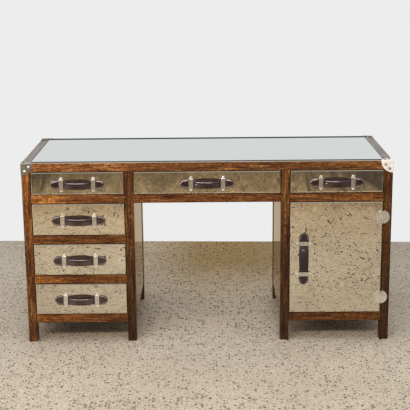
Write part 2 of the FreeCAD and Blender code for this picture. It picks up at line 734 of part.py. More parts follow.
def corner_spots():
    """Two nails on each face of a corner whose post lies towards +X, +Y and -Z."""
    out = "-bracket_sheet"
    for one, other in (("corner_near", "corner_far"), ("corner_far", "corner_near")):
        yield (one, other, "bracket_sheet"), AS_MADE
        yield (one, out, f"-{other}"), FACING_FRONT
        yield (out, one, f"-{other}"), FACING_LEFT


def corner_bracket():
    """A bracket of three quarter-disc faces: a hollow corner of sheet cut to a ball about the corner."""
    outside = board("bracket_outside", *[("-bracket_sheet", "bracket_radius")] * 2,
                    ("-bracket_radius", "bracket_sheet"))
    doc.recompute()
    sheet_out = number("bracket_sheet")
    corner = FreeCAD.Vector(-sheet_out, -sheet_out, sheet_out)
    soft = doc.addObject("Part::Fillet", "bracket_soft")
    soft.Base = outside
    radius = number("bracket_round")
    soft.Edges = [(place, radius, radius) for place, edge in enumerate(outside.Shape.Edges, start=1)
                  if any(vertex.Point.isEqual(corner, 1e-6) for vertex in edge.Vertexes)]
    inside = board("bracket_inside", *[("0", "2 * bracket_radius")] * 2, ("-2 * bracket_radius", "0"))
    shell = combine("Cut", "bracket_shell", soft, inside)
    ball = doc.addObject("Part::Sphere", "bracket_ball")
    bind(ball, "Radius", "bracket_radius")
    whole = combine("Common", "bracket_whole", shell, ball)
    hole = rod("corner_nail_hole", "corner_hole_radius", "4 * bracket_sheet")
    holes = [copy(hole, f"corner_hole_{place}", at, turn) for place, (at, turn) in enumerate(corner_spots())]
    return combine("Cut", "bracket", whole, group("corner_holes", holes))


def build_corners():
    bracket = corner_bracket()
    pattern = nail("corner_nail", "corner_head_radius", "corner_crown", "corner_dome", "corner_shank_radius",
                   "corner_length")
    set_of_nails = group("corner_nail_set", [copy(pattern, f"corner_nail_{place}", at, turn)
                                             for place, (at, turn) in enumerate(corner_spots())])
    corners = (("-half_width", "front_y"), ("half_width", "front_y"), ("half_width", "back_y"), ("-half_width", "back_y"))
    brackets = []
    nails = []
    for place, (x, y) in enumerate(corners):
        turn = FreeCAD.Rotation(AXIS_Z, 90 * place)
        at = (x, y, "overall_height")
        brackets.append(copy(bracket, f"bracket_{place}", at, turn))
        nails.append(copy(set_of_nails, f"corner_nails_{place}", at, turn))
    keep(group("corner_brackets", brackets))
    keep(group("corner_nails", nails))


def write_parts():
    doc.recompute()
    for item in doc.Objects:
        if {"Invalid", "Error"} & set(item.State):
            raise RuntimeError(f"{item.Name} failed")
        if item.TypeId == "Part::Cut" and item.Shape.Volume >= item.Base.Shape.Volume:
            raise RuntimeError(f"{item.Name} cuts nothing")
    for piece in nodes:
        if piece.Shape.isNull() or not piece.Shape.isValid() or not piece.Shape.Solids:
            raise RuntimeError(f"{piece.Label} has no sound shape")
    os.makedirs("parts", exist_ok=True)
    for piece in nodes:
        piece.Shape.exportStep(f"parts/{piece.Label}.step")
        print(f"{piece.Label}: {len(piece.Shape.Solids)} solids, {piece.Shape.Volume / 1000:.1f} cm3")


fill_sheet()
build_posts()
build_top()
build_rails()
build_panels()
build_runners()
handle_fittings = Fittings()
for drawer, opening in DRAWERS.items():
    build_drawer(drawer, handle_fittings, *opening)
build_door(handle_fittings)
build_corners()
write_parts()
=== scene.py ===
import math

import bmesh
import bpy
from mathutils import Matrix, Vector, noise


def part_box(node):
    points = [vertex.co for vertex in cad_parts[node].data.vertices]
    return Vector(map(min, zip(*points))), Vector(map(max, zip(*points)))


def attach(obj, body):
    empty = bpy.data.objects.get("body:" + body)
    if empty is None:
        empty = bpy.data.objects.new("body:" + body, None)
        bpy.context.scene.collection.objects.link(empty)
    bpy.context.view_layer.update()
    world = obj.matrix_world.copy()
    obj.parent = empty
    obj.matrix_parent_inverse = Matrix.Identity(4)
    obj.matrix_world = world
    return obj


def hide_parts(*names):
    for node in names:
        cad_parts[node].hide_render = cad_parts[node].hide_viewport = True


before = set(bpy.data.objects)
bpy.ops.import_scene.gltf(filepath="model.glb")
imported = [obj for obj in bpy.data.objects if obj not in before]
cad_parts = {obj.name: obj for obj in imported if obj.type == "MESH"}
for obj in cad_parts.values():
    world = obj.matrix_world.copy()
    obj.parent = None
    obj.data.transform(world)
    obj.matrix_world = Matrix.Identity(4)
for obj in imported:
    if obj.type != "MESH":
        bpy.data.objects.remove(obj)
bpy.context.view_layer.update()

# Kneehole desk of dark wood and mirror glass. The frame gives every rigid piece. Made here are the materials, the
# padded and stitched leather handles, the floor, the light and the camera. Lengths are in metres.

MM = 0.001
FRONT_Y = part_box("front_posts")[0].y
DRAWERS = ("top_left", "top_centre", "top_right", "left_upper", "left_middle", "left_lower")
TOP_DRAWERS = 3
FRONTS = [f"drawer_{name}" for name in DRAWERS] + ["door"]

# Leather handles: the sizes of the solids that they replace
STRAP_LENGTH = 220 * MM
STRAP_WIDTH = 40 * MM
STRAP_THICKNESS = 4 * MM
TAB_RADIUS = 23 * MM
TIP_ROUND = 5 * MM
GRIP_GAP = 18 * MM
ROOT_RADIUS = 12 * MM
BEND_START = 56.5 * MM
LOOP_WIDTH = 17 * MM
PAD_WIDTH = 27 * MM
PAD_HEIGHT = 9 * MM
PAD_EDGE = 5 * MM

# Leather handles: the finer shape that is added here. Fades are counted from the pad's end
PAD_LENGTH = 99 * MM
PAD_FADE = (-6 * MM, 3 * MM)
PAD_FLARE = 2.9 * MM
RIDGE_DROP = (2.2 * MM, 4.8 * MM)
RIDGE_ROUND = 3.2 * MM
GRIP_NARROWING = 2.0 * MM
GRIP_FADE = (-2 * MM, 4 * MM)
EDGE_ROUND = 2.4 * MM
THINNEST_EDGE = 0.55
TAB_SWELL = 1.3 * MM
CREASE_HEIGHT = 0.12 * MM
SMALLEST_HALF_WIDTH = 0.15 * MM
STRAP_STATIONS = 170
STRAP_COLUMNS = 64

# Seam of the leather handles
STITCH_INSET = 4.6 * MM
GRIP_INSET = 0.9 * MM
GROOVE_DEPTH = 0.55 * MM
GROOVE_WIDTH = 0.8 * MM
STITCH_PITCH = 4.2 * MM
STITCH_LENGTH = 3.0 * MM
STITCH_RADIUS = 0.75 * MM
STITCH_RINGS = 5
STITCH_SPOKES = 6
SEAM_STEPS = 1200
SEAM_BEFORE_LOOP = 3 * MM
SEAM_PAST_LOOP = 4 * MM

# Camera, from a fit to the desk's corners and frame lines in the photograph
CAMERA_SPOT = Vector((0.0141, FRONT_Y - 4.1404, 1.5861))
CAMERA_PITCH = math.radians(13.617)
CAMERA_YAW = math.radians(-0.317)
CAMERA_ROLL = math.radians(-0.545)
CAMERA_LENS = 92.14
SENSOR_WIDTH = 36.0

# Stage: the floor ends where the wall stands in the photograph
FLOOR_REACH = 9.0
WALL_DISTANCE = 1.54
WALL_TURN = math.radians(2.2)
KEY_LIGHT = {
    "spot": (-2.2, -3.3, 2.6), "aim": (-2.2, -0.1, 0.2), "size": (7.0, 0.6), "power": 165, "colour": (1.0, 0.97, 0.93),
}
OVERHEAD_LIGHT = {
    "spot": (0.2, -0.4, 3.4), "aim": (0.1, -0.2, 0.0), "size": (3.0, 2.0), "power": 38, "colour": (1.0, 0.99, 0.97),
}

# Painted light and shade on the wood at heights from the floor to the top, the posts darker towards the floor
NO_HEIGHT_SHADE = ((0.0, (1.0,) * 3), (1.0, (1.0,) * 3))
POST_HEIGHT_SHADE = ((0.0, (0.42, 0.41, 0.40)), (0.42, (0.58, 0.57, 0.54)), (0.74, (1.0,) * 3), (1.0, (1.20, 1.24, 1.30)))
RAIL_HEIGHT_SHADE = ((0.0, (0.86, 0.83, 0.66)), (0.36, (1.0, 0.97, 0.74)), (0.58, (0.76, 0.76, 0.66)),
              (0.78, (1.26, 1.24, 1.06)), (1.0, (1.28, 1.36, 1.54)))

# Painted light on the wood at four places from the left end to the right one, brightest at the left, towards the key
# lamp
SIDE_LIGHT_PLACES = (0.0, 0.28, 0.72, 1.0)
POST_SIDE_LIGHT = (1.50, 0.74, 0.76, 0.58)
RAIL_SIDE_LIGHT = (1.66, 1.18, 0.82, 0.92)
NO_SIDE_LIGHT = (1.0, 1.0, 1.0, 1.0)

# Dark, middle and light tones of the woods
RED_WOOD = ((0.036, 0.0115, 0.0028), (0.145, 0.048, 0.0105), (0.335, 0.150, 0.052))
GREY_WOOD = ((0.026, 0.012, 0.007), (0.075, 0.038, 0.022), (0.16, 0.090, 0.055))
BOARD_WOOD = ((0.030, 0.012, 0.005), (0.085, 0.034, 0.013), (0.16, 0.07, 0.028))
BOX_WOOD = ((0.12, 0.060, 0.026), (0.24, 0.132, 0.062), (0.36, 0.22, 0.115))
# Painted pale highlight on the top rails' top faces, and painted dark shadow where they border the glass
RIM_HIGHLIGHT = (0.36, 0.31, 0.26, 1)
GLASS_GAP_SHADOW = (0.010, 0.008, 0.007, 1)

# Directions of the wood's grain, as axis numbers
ACROSS, DEEP, UP = 0, 1, 2

# Plain tints of the panes and the metal
WHITE = (1.0, 1.0, 1.0)
UPPER_GLASS = (0.705, 0.645, 0.53)
LOWER_GLASS = (0.735, 0.675, 0.57)
SIDE_GLASS = (0.705, 0.63, 0.49)
SIDE_GLASS_GRAZED = (0.70, 0.59, 0.44)
TOP_GLASS = (0.757, 0.79, 0.78)
TOP_GLASS_GRAZED = (0.92, 0.935, 0.93)
NICKEL = (0.76, 0.72, 0.66)
PALE_NICKEL = (0.90, 0.86, 0.80)
BRIGHT_NICKEL = (0.95, 0.92, 0.86)
GREY_NICKEL = (0.50, 0.47, 0.43)
STEEL = (0.50, 0.49, 0.47)

# Leather: index of refraction, and part of a grey bloom, partly dusty and partly painted sheen, on the drawers'
# handles, which shine, and on the door's, which doesn't
DRAWER_POLISH, DRAWER_DUST_AND_SHEEN = 2.2, 0.0
DOOR_POLISH, DOOR_DUST_AND_SHEEN = 1.3, 0.45


class Graph:
    """A material's node tree, with its surface shader."""

    def __init__(self, name):
        self.material = bpy.data.materials.new(name)
        self.material.use_nodes = True
        self.tree = self.material.node_tree
        self.tree.nodes.clear()
        output = self.tree.nodes.new("ShaderNodeOutputMaterial")
        self.surface = self.tree.nodes.new("ShaderNodeBsdfPrincipled")
        self.tree.links.new(self.surface.outputs[0], output.inputs["Surface"])

    def add(self, kind, inputs=None, **settings):
        """Adds a node of a kind, with values or links for its inputs, and with its settings."""
        node = self.tree.nodes.new(f"ShaderNode{kind}")
        for name, value in settings.items():
            setattr(node, name, value)
        self.feed(node, inputs or {})
        return node

    def feed(self, node, inputs):
        for name, value in inputs.items():
            socket = node.inputs[name]
            if isinstance(value, bpy.types.NodeSocket):
                self.tree.links.new(value, socket)
            else:
                socket.default_value = value

    def shade(self, **inputs):
        """Sets inputs of the surface shader, with _ for the blanks in their names."""
        self.feed(self.surface, {name.replace("_", " "): value for name, value in inputs.items()})

    def place(self):
        return self.add("TexCoord").outputs["Object"]

    def stretch(self, vector, scale):
        return self.add("Mapping", {"Vector": vector, "Scale": scale}).outputs[0]

    def noise(self, vector, scale, detail=4.0, rough=0.55, warp=0.0):
        inputs = {"Vector": vector, "Scale": scale, "Detail": detail, "Roughness": rough, "Distortion": warp}
        return self.add("TexNoise", inputs).outputs["Fac"]

    def ramp(self, factor, *stops):
        """Colour that changes with a factor through stops (position, colour)."""
        node = self.add("ValToRGB", {"Fac": factor})
        elements = node.color_ramp.elements
        while len(elements) < len(stops):
            elements.new(0.5)
        for element, (position, colour) in zip(elements, stops):
            element.position = position
            element.color = colour if len(colour) == 4 else (*colour, 1)
        return node.outputs["Color"]

    def levels(self, factor, low, high, out_low=0.0, out_high=1.0):
        """Maps a factor's range from low to high onto another range, and holds it there."""
        inputs = {"Value": factor, "From Min": low, "From Max": high, "To Min": out_low, "To Max": out_high}
        return self.add("MapRange", inputs).outputs[0]

    def mix(self, factor, one, other, blend="MIX"):
        node = self.add("Mix", data_type="RGBA", blend_type=blend)
        self.feed(node, {0: factor, 6: one, 7: other})
        return node.outputs[2]

    def tint(self, one, other):
        return self.mix(1.0, one, other, "MULTIPLY")

    def calc(self, operation, one, other):
        return self.add("Math", {0: one, 1: other}, operation=operation).outputs[0]

    def magnitude(self, value):
        return self.add("Math", {0: value}, operation="ABSOLUTE").outputs[0]

    def parts(self, vector):
        """Sockets X, Y and Z of a vector."""
        return self.add("SeparateXYZ", {"Vector": vector}).outputs

    def bump(self, height, distance, strength=1.0, normal=None):
        inputs = {"Height": height, "Distance": distance, "Strength": strength}
        if normal:
            inputs["Normal"] = normal
        return self.add("Bump", inputs).outputs[0]

    def edges(self, radius):
        """1 near an edge of the piece and 0 on its flats."""
        soft = self.add("Bevel", {"Radius": radius}, samples=6).outputs[0]
        true = self.add("NewGeometry").outputs["True Normal"]
        turn = self.add("VectorMath", {0: soft, 1: true}, operation="DOT_PRODUCT").outputs["Value"]
        return self.levels(turn, 0.995, 0.80)


def wood(name, along, tones, gloss=0.36, coat=0.12, height_shade=NO_HEIGHT_SHADE, side_light=NO_SIDE_LIGHT, rim=False):
    """Stained wood with its grain along one axis: streaks, fine lines, pores, golden and red patches, painted shade
    along the arrises, painted light and shade that may change towards the floor, and painted light that differs from
    the left post to the right one, brightest on the left. A rim gets a painted pale highlight on its top faces and a
    painted dark shadow where it borders the glass."""
    graph = Graph(name)
    place = graph.place()
    dark, mid, light = tones

    def grain(run, across):
        scale = [across] * 3
        scale[along] = run
        return graph.stretch(place, scale)

    bands = graph.noise(grain(3.4, 30), 1.0, detail=4, rough=0.6, warp=0.6)
    streaks = graph.noise(grain(3.0, 30), 3.0, detail=7, rough=0.66, warp=0.5)
    lines = graph.noise(grain(3.0, 150), 3.0, detail=5, rough=0.7)
    pores = graph.noise(grain(14, 520), 2.0, detail=2)
    flecks = graph.noise(grain(70, 170), 1.0, detail=3, rough=0.6)
    patches = graph.noise(grain(3.2, 9), 1.0, detail=4, rough=0.62, warp=0.8)
    colour = graph.ramp(streaks, (0.28, dark), (0.47, mid), (0.70, light))
    colour = graph.tint(colour, graph.ramp(bands, (0.32, (0.66, 0.62, 0.60)), (0.66, (1.28, 1.32, 1.34))))
    colour = graph.tint(colour, graph.ramp(lines, (0.34, (0.40,) * 3), (0.62, (1.22,) * 3)))
    colour = graph.tint(colour, graph.ramp(pores, (0.36, (0.40,) * 3), (0.46, (1.0,) * 3)))
    colour = graph.tint(colour, graph.ramp(flecks, (0.36, (0.42,) * 3), (0.64, (1.56,) * 3)))
    mottled = graph.ramp(patches, (0.30, (0.50, 0.40, 0.36)), (0.50, (1.0, 0.95, 0.90)), (0.70, (1.55, 1.66, 1.40)))
    colour = graph.tint(colour, mottled)
    spots = graph.parts(place)
    # Painted light that differs from left to right, brightest at the left
    side_light_stops = [(position, (factor,) * 3) for position, factor in zip(SIDE_LIGHT_PLACES, side_light)]
    colour = graph.tint(colour, graph.ramp(graph.levels(spots["X"], -0.75, 0.75), *side_light_stops))
    # Painted light and shade by height
    colour = graph.tint(colour, graph.ramp(graph.levels(spots["Z"], 0.0, 0.76), *height_shade))
    # Painted shade along the arrises, in patches, for the shadows in the gaps between parts
    wear_and_edge_shade = graph.calc("MULTIPLY", graph.edges(3.4 * MM), graph.levels(patches, 0.34, 0.62, 0.95, 0.40))
    colour = graph.mix(wear_and_edge_shade, colour, (*[0.55 * value for value in dark], 1))
    gap_shadow = 0.0
    if rim:
        # Painted highlight on the top faces, and painted shadow on them where they border the glass
        facing = graph.parts(graph.add("NewGeometry").outputs["True Normal"])["Z"]
        level = graph.levels(facing, 0.6, 0.9)
        gap_shadow = graph.calc("MULTIPLY", level, graph.levels(spots["Y"], FRONT_Y + 13 * MM, FRONT_Y + 19 * MM))
        colour = graph.mix(graph.calc("MULTIPLY", level, 0.8), colour, RIM_HIGHLIGHT)
        colour = graph.mix(gap_shadow, colour, GLASS_GAP_SHADOW)
    relief = graph.calc("ADD", graph.calc("MULTIPLY", lines, 0.6), graph.levels(pores, 0.34, 0.48, 0, 0.6))
    graph.shade(
        Base_Color=colour,
        Roughness=graph.levels(streaks, 0.3, 0.7, gloss + 0.16, gloss - 0.02),
        Specular_IOR_Level=graph.levels(gap_shadow, 0.0, 1.0, 0.17, 0.02),
        Coat_Weight=graph.levels(gap_shadow, 0.0, 1.0, coat, 0.0),
        Coat_Roughness=0.16,
        Normal=graph.bump(relief, 0.22 * MM),
    )
    return graph.material


def mirror(name, tint, wave, graze=WHITE, even=0.9):
    """Silvered glass that isn't quite flat, with faint smears and a slightly uneven tone. Graze is its tint at flat
    angles."""
    graph = Graph(name)
    place = graph.place()
    tone = graph.noise(place, 5.0, detail=3)
    smears = graph.noise(graph.stretch(place, (6, 6, 14)), 2.0, detail=5, rough=0.6)
    swell = graph.noise(graph.stretch(place, (1.3, 1.0, 0.8)), 7.0, detail=2.0, rough=0.45, warp=0.8)
    shaded = [even * value for value in tint]
    graph.shade(
        Base_Color=graph.ramp(tone, (0.35, shaded), (0.62, tint)),
        Metallic=1.0,
        Specular_Tint=(*graze, 1),
        Roughness=graph.levels(smears, 0.45, 0.80, 0.0, 0.03),
        Normal=graph.bump(swell, wave),
    )
    return graph.material


def metal(name, colour, rough, graze=WHITE, left=None, rear=WHITE, highlight_coat=(0.0, 0.0)):
    """Plated metal: smooth, with soft stains and hair scratches. Its tone may differ on the left, as a painted
    reflection, and at the rear, and at the front it may have a dull pale coat, more or less of it on the left and on
    the right, as a painted highlight."""
    graph = Graph(name)
    place = graph.place()
    cloud = graph.noise(place, 28.0, detail=3, rough=0.5)
    scratches = graph.noise(graph.stretch(place, (60, 500, 1400)), 2.0, detail=3)
    tone = graph.ramp(cloud, (0.30, (0.80, 0.77, 0.72)), (0.55, (1.0,) * 3))
    spots = graph.parts(place)
    # Painted reflection: a different tone on the left, used on the corner brackets and their nails
    left_right_tone = graph.mix(graph.levels(spots["X"], 0.2, -0.2), (*colour, 1), (*(left or colour), 1))
    tone = graph.tint(tone, left_right_tone)
    behind = graph.levels(spots["Y"], -0.1, 0.1)
    tone = graph.mix(behind, tone, graph.tint(tone, (*rear, 1)))
    # A dull pale coat on the front, a painted highlight
    dull = graph.calc("MULTIPLY", graph.levels(spots["X"], -0.2, 0.2, *highlight_coat), graph.levels(spots["Y"], 0.1, -0.1))
    stained = graph.levels(cloud, 0.3, 0.7, rough + 0.08, rough - 0.03)
    graph.shade(
        Base_Color=tone,
        Metallic=graph.calc("SUBTRACT", 1.0, dull),
        Specular_Tint=(*graze, 1),
        Roughness=graph.calc("ADD", stained, graph.calc("MULTIPLY", dull, 0.4)),
        Normal=graph.bump(scratches, 0.003 * MM),
    )
    return graph.material


def leather(name, polish, dust_and_sheen):
    """Dark leather with a fine pebble grain, cut edges and a front dulled by wear that are more matte, and a raw, paler
    back. Polish is its index of refraction, and dust_and_sheen the part of a dull grey bloom on it, partly dusty and
    partly a painted sheen."""
    graph = Graph(name)
    place = graph.place()
    pebbles = graph.add("TexVoronoi", {"Vector": place, "Scale": 950.0}, feature="SMOOTH_F1").outputs["Distance"]
    creases = graph.noise(graph.stretch(place, (260, 60, 60)), 1.0, detail=5, rough=0.65, warp=0.6)
    mottle = graph.noise(place, 70.0, detail=5, rough=0.62)
    colour = graph.ramp(mottle, (0.28, (0.0065, 0.0030, 0.0030)), (0.52, (0.016, 0.0066, 0.0062)),
                        (0.8, (0.030, 0.013, 0.011)))
    colour = graph.tint(colour, graph.ramp(creases, (0.32, (0.55,) * 3), (0.5, (1.0,) * 3)))
    # The grey bloom is partly dusty and partly a painted sheen
    grey_bloom_and_sheen, raw_back = (0.064, 0.052, 0.055, 1), (0.22, 0.165, 0.13, 1)
    colour = graph.mix(dust_and_sheen, colour, grey_bloom_and_sheen)
    facing = graph.parts(graph.add("TexCoord").outputs["Normal"])
    colour = graph.mix(graph.levels(facing["Y"], 0.3, 0.7), colour, raw_back)
    edge = graph.levels(graph.magnitude(facing["Z"]), 0.75, 0.95)
    spots = graph.parts(place)
    across = graph.magnitude(spots["Z"])
    along = graph.magnitude(spots["X"])
    beside_pad, on_grip = graph.levels(across, 15.8 * MM, 16.6 * MM), graph.levels(along, 54 * MM, 50 * MM)
    rim = graph.calc("MULTIPLY", beside_pad, on_grip)
    wear_and_edge_shade = graph.levels(facing["Y"], -0.965, -0.995, 0.0, 0.45)
    matte = graph.calc("MAXIMUM", graph.calc("MAXIMUM", edge, rim), wear_and_edge_shade)
    grain = graph.bump(pebbles, 0.02 * MM, 0.8)
    graph.shade(
        Base_Color=colour,
        Roughness=graph.levels(mottle, 0.3, 0.7, 0.19, 0.12),
        IOR=polish,
        Specular_IOR_Level=graph.levels(matte, 0.0, 1.0, 0.5, 0.05),
        Specular_Tint=(1.0, 0.80, 0.82, 1),
        Normal=graph.bump(creases, 0.04 * MM, 0.7, grain),
    )
    return graph.material


def thread(name):
    """Waxed thread, pale round the tabs and darker along the padded grip, most of all on its upper side."""
    graph = Graph(name)
    place = graph.place()
    fibres = graph.noise(graph.stretch(place, (900, 2600, 2600)), 1.0, detail=3)
    spots = graph.parts(place)
    tab = graph.levels(graph.magnitude(spots["X"]), 54 * MM, 58 * MM)
    pale = graph.ramp(fibres, (0.3, (0.46, 0.41, 0.35)), (0.6, (0.70, 0.65, 0.57)))
    below, above = (0.20, 0.165, 0.14, 1), (0.035, 0.026, 0.023, 1)
    grip_tone = graph.mix(graph.levels(spots["Z"], -4 * MM, 4 * MM), below, above)
    graph.shade(
        Base_Color=graph.mix(tab, grip_tone, pale),
        Roughness=0.8,
        Normal=graph.bump(fibres, 0.1 * MM),
    )
    return graph.material


def concrete(name):
    """Pale ground concrete full of dark, brown and light grains, with painted light and shade: brightest just ahead of
    the desk, darker with painted patches of light and shade beyond, as the panes reflect it, painted brighter under the
    kneehole, and with painted warm shade behind the kneehole and in the shadows of the pedestals."""
    graph = Graph(name)
    place = graph.place()
    cloud = graph.noise(place, 2.2, detail=5, rough=0.6)
    fine = graph.noise(place, 210.0, detail=3, rough=0.6)
    base = graph.ramp(cloud, (0.3, (0.525, 0.455, 0.363)), (0.7, (0.62, 0.545, 0.445)))
    base = graph.tint(base, graph.ramp(fine, (0.30, (0.74,) * 3), (0.66, (1.14,) * 3)))
    spots = graph.parts(place)
    ahead = graph.levels(spots["Y"], FRONT_Y, FRONT_Y - 4.0)
    middle = graph.magnitude(spots["X"])
    past_front = graph.levels(spots["Y"], FRONT_Y - 0.20, FRONT_Y + 0.20)
    under = graph.calc("MULTIPLY", graph.levels(middle, 0.75, 0.25), past_front)
    beyond = graph.levels(ahead, 0.10, 0.22)
    # Cells per metre, share left out, size in its cell, colour, squeeze of the ground along Y, and where it lies
    grains = (
        (78, 0.36, 0.46, (0.050, 0.042, 0.030), 1.0, None),
        (110, 0.30, 0.44, (0.140, 0.104, 0.068), 1.0, None),
        (165, 0.34, 0.44, (0.060, 0.050, 0.037), 1.0, None),
        (95, 0.60, 0.40, (0.76, 0.71, 0.63), 1.0, None),
        (56, 0.16, 0.42, (0.055, 0.044, 0.030), 1.0, under),
        (58, 0.30, 0.46, (0.055, 0.044, 0.030), 0.5, beyond),
    )
    for scale, left_out, size, grain, squeeze, where in grains:
        ground = graph.stretch(place, (1.0, squeeze, 1.0))
        stir = graph.add("TexNoise", {"Vector": ground, "Scale": 2.0 * scale}).outputs["Color"]
        cells = graph.add("TexVoronoi", {"Vector": graph.mix(0.010, ground, stir), "Scale": scale})
        chance = graph.add("SeparateColor", {"Color": cells.outputs["Color"]})
        reach = graph.levels(chance.outputs["Red"], left_out, 1.0, 0.0, size)
        spot = graph.levels(graph.calc("SUBTRACT", reach, cells.outputs["Distance"]), 0.0, 0.05)
        if where:
            spot = graph.calc("MULTIPLY", spot, where)
        base = graph.mix(spot, base, (*grain, 1))
    # Painted light and shade: the floor grows darker and warmer with distance ahead of the desk, where less light falls
    painted_light = graph.ramp(ahead, (0.0, (0.95,) * 3), (0.12, (0.97, 0.96, 0.94)), (0.30, (0.99, 0.98, 0.95)),
                     (0.50, (0.96, 0.90, 0.80)), (0.61, (0.77, 0.68, 0.54)), (0.74, (0.57, 0.48, 0.33)),
                     (0.90, (0.48, 0.39, 0.27)))
    # Painted shade on the far floor at both sides, which the upper panes reflect
    skew = graph.magnitude(graph.calc("ADD", spots["X"], 0.12))
    aside = graph.levels(skew, 0.80, 1.25)
    corner = graph.calc("MULTIPLY", aside, graph.levels(ahead, 0.64, 0.78))
    # Colours of painted shade at the far corners, painted light under the kneehole, painted warm shade and painted warm
    # shadow
    corner_shade, light_under = (0.16, 0.135, 0.095, 1), (1.22, 1.20, 1.16, 1)
    warm_shade, warm_shadow = (0.69, 0.50, 0.20, 1), (0.92, 0.84, 0.73, 1)
    painted_light = graph.mix(corner, painted_light, corner_shade)
    # Painted patches of light and shade on the far floor, which the upper panes reflect
    light_patches = graph.noise(graph.stretch(place, (9, 2.4, 1)), 3.0, detail=4, rough=0.65, warp=1.0)
    light_patches = graph.ramp(light_patches, (0.34, (0.40,) * 3), (0.66, (1.50,) * 3))
    painted_light = graph.mix(graph.levels(ahead, 0.50, 0.66), painted_light, graph.tint(painted_light, light_patches))
    # Painted light on the floor under the kneehole, where the desk casts its shadow
    painted_light = graph.mix(under, painted_light, light_under)
    # Painted warm shade on the floor behind the kneehole, less of it to the left
    lit = graph.levels(spots["X"], -0.50, -0.05)
    shade = graph.calc("MULTIPLY", graph.calc("MULTIPLY", under, lit), graph.levels(spots["Y"], 0.15, 0.85))
    painted_light = graph.mix(shade, painted_light, warm_shade)
    # Painted warm shadow on the floor under the pedestals
    beside = graph.calc("MULTIPLY", graph.levels(middle, 0.28, 0.36), graph.levels(middle, 0.80, 0.74))
    beside = graph.calc("MULTIPLY", beside, graph.levels(spots["Y"], FRONT_Y - 0.02, FRONT_Y + 0.06))
    painted_light = graph.mix(beside, painted_light, graph.tint(painted_light, warm_shadow))
    graph.shade(
        Base_Color=graph.tint(base, painted_light),
        Roughness=0.55,
        Specular_IOR_Level=0.2,
    )
    return graph.material


def paint(material, *nodes):
    """Gives CAD nodes a material."""
    for node in nodes:
        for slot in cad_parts[node].material_slots:
            slot.material = material


def ease_edges(width, *nodes):
    """Rounds the sharp edges of CAD nodes a little, as sanding or polishing does."""
    for node in nodes:
        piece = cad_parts[node]
        weld = piece.modifiers.new("weld", "WELD")
        weld.merge_threshold = 0.01 * MM
        bevel = piece.modifiers.new("ease", "BEVEL")
        bevel.width = width
        bevel.segments = 2
        bevel.limit_method = "ANGLE"
        bevel.angle_limit = math.radians(35)
        bevel.harden_normals = True


def smooth_step(value, low, high):
    """0 below low, 1 above high, and a smooth rise between."""
    part = min(max((value - low) / (high - low), 0.0), 1.0)
    return part * part * (3 - 2 * part)


